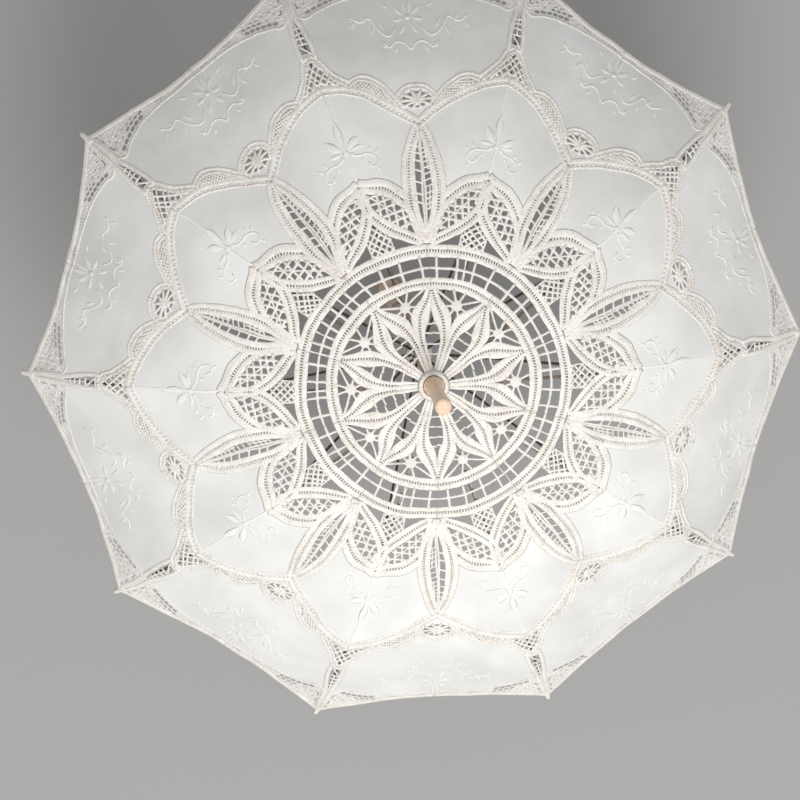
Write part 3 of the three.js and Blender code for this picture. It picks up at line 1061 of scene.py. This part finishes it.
for k in range(RIBS):
    label = f"{k + 1:02d}"
    rng = random.Random(40 + k)
    cloth = bmesh.new()
    cloth_from(cloth, PETAL_CLOTH, k)
    cloth_from(cloth, OUTER_CLOTH, k)
    cloth_from(cloth, BORDER, k, 1)
    cover = piece_from(cloth, f"canopy_cloth_{label}", LAWN, CLOTH_THICK)
    cover.data.materials.append(BORDER_LACE)
    tapes = bmesh.new()
    lace_tapes(tapes, k)
    tapes = piece_from(tapes, f"lace_tape_{label}", TAPE)
    threads = bmesh.new()
    lace_threads(threads, k, rng)
    threads = piece_from(threads, f"lace_thread_{label}", THREAD)
    stitched = bmesh.new()
    embroidery(stitched, k, rng)
    stitched = piece_from(stitched, f"embroidery_{label}", SATIN)
    for piece in (cover, tapes, threads, stitched):
        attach(piece, f"rib_{label}_body")
        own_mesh(piece)
    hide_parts(f"canopy_gore_{label}")

# ---------------------------------------------------------------- the braid gathered round the stick
low, high = (Vector(v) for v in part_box("ferrule"))
inner = max(high.x - low.x, high.y - low.y) / 2 + 0.0004
braid = bmesh.new()
pleats = 44
foot = CROWN_Z + CLOTH_LIFT + 0.0016
section = (
    (inner, 0.0), (inner + 0.001, 0.0014), (0.0125, 0.0012),
    (0.0152, 0.0), (0.0125, -0.0006), (inner + 0.001, -0.0006),
)
loop = [braid.verts.new((r, 0, foot + z)) for r, z in section]
loop += [braid.edges.new((a, b)) for a, b in zip(loop, loop[1:] + loop[:1])]
bmesh.ops.spin(braid, geom=loop, axis=(0, 0, 1), angle=2 * math.pi, steps=pleats, use_merge=True)
for vert in braid.verts:
    if vert.co.z > foot + 0.001:
        pleat = round(math.atan2(vert.co.y, vert.co.x) / (2 * math.pi) * pleats)
        vert.co.z += 0.00045 if pleat % 2 else -0.00025
braid = piece_from(braid, "centre_braid", TAPE)
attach(braid, "frame")

# ---------------------------------------------------------------- floor, light and camera
floor = bmesh.new()
bmesh.ops.create_grid(floor, x_segments=1, y_segments=1, size=40)
mesh = bpy.data.meshes.new("studio_floor")
floor.to_mesh(mesh)
floor.free()
ground = bpy.data.objects.new("studio_floor", mesh)
bpy.context.scene.collection.objects.link(ground)
paper, tree, shader = finish_named("pale_paper_floor")
shader.inputs["Base Color"].default_value = linear("B2B1AF")
shader.inputs["Roughness"].default_value = 0.9
mesh.materials.append(paper)

world = bpy.data.worlds.new("studio")
bpy.context.scene.world = world
world.use_nodes = True
world.node_tree.nodes["Background"].inputs[0].default_value = linear("EDEEEF")
world.node_tree.nodes["Background"].inputs[1].default_value = 0.54


LIT = Vector((0, 0, 0.6))


def soft_light(name, place, size, power):
    """A square lamp, aimed at the canopy."""
    data = bpy.data.lights.new(name, "AREA")
    data.size = size
    data.energy = power
    lamp = bpy.data.objects.new(name, data)
    bpy.context.scene.collection.objects.link(lamp)
    lamp.location = place
    lamp.rotation_euler = (LIT - Vector(place)).to_track_quat("-Z", "Y").to_euler()


soft_light("key", (0.14, -1.3, 3.0), size=1.3, power=51)
soft_light("fill", (-0.4, 1.3, 3.0), size=1.8, power=4)

# the view looks down the shaft, 12 degrees off it, from five canopy radii away, a little off centre
LENS = 88.605
SENSOR = 36
TILT_X = math.radians(11.27)
TILT_Y = math.radians(4.04)
ROLL = math.radians(3.19)
AWAY = 5 * TIP_R
ASIDE = 0.0444 * TIP_R
ABOVE = 0.1264 * TIP_R
turned = Matrix.Rotation(TILT_Y, 3, "Y") @ Matrix.Rotation(TILT_X, 3, "X") @ Matrix.Rotation(ROLL, 3, "Z")
lens = bpy.data.cameras.new("view")
lens.sensor_width = SENSOR
lens.lens = LENS
lens.clip_end = 50
camera = bpy.data.objects.new("view", lens)
bpy.context.scene.collection.objects.link(camera)
back = turned.transposed()
spot = back @ Vector((-ASIDE, -ABOVE, AWAY)) + Vector((0, 0, CROWN_Z - RISE))
camera.matrix_world = Matrix.Translation(spot) @ back.to_4x4()
bpy.context.scene.camera = camera
bpy.context.scene.view_settings.view_transform = "Standard"
